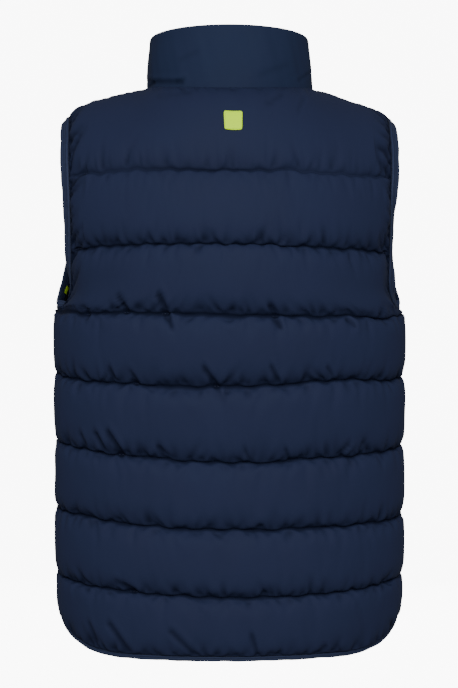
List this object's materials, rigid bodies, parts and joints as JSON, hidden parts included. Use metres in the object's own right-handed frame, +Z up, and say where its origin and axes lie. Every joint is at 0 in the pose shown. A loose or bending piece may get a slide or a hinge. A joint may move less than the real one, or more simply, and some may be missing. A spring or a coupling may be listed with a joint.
{
  "type": "quilted vest",
  "caption": "Quilted padded vest with a stand collar, bound armholes, a dropped tail hem and a closed centre front zip, filled out as when worn.",
  "frame": {"origin": "midway between the neck ends of the two shoulder seams, where a wearer's shoulders and neck hold the vest", "axes": "+Z up, -Y towards the wearer's front with the zip, +X towards the wearer's left"},
  "size_m": [0.4372, 0.315, 0.7623],
  "materials": {
    "shell": "navy woven polyester shell, matt with a slight sheen",
    "collar_shell": "the same navy woven polyester, smooth and unquilted",
    "binding": "dark navy folded elastic binding, matt",
    "zip_tape": "dark navy woven zip tape",
    "zip_teeth": "dark navy moulded plastic teeth",
    "zip_metal": "gunmetal lacquer, satin",
    "patch": "lime woven patch, matt"
  },
  "bodies": {
    "vest": {"back_panel": "shell", "front_left": "shell", "front_right": "shell", "collar": "collar_shell", "armhole_binding_left": "binding", "armhole_binding_right": "binding", "hem_binding": "binding", "neck_patch": "patch", "zip_tape_left": "zip_tape", "zip_tape_right": "zip_tape", "zip_chain": "zip_teeth", "zip_slider": "zip_metal", "inner_tab": "patch"},
    "zip_pull": {"zip_pull": "zip_metal"}
  },
  "joints": [
    {"name": "zip_pull_swing", "type": "hinge", "parent": "vest", "child": "zip_pull", "pos_m": [0, -0.08446, -0.00698], "axis": [-1, 0, 0], "range_deg": [0, 150]}
  ]
}
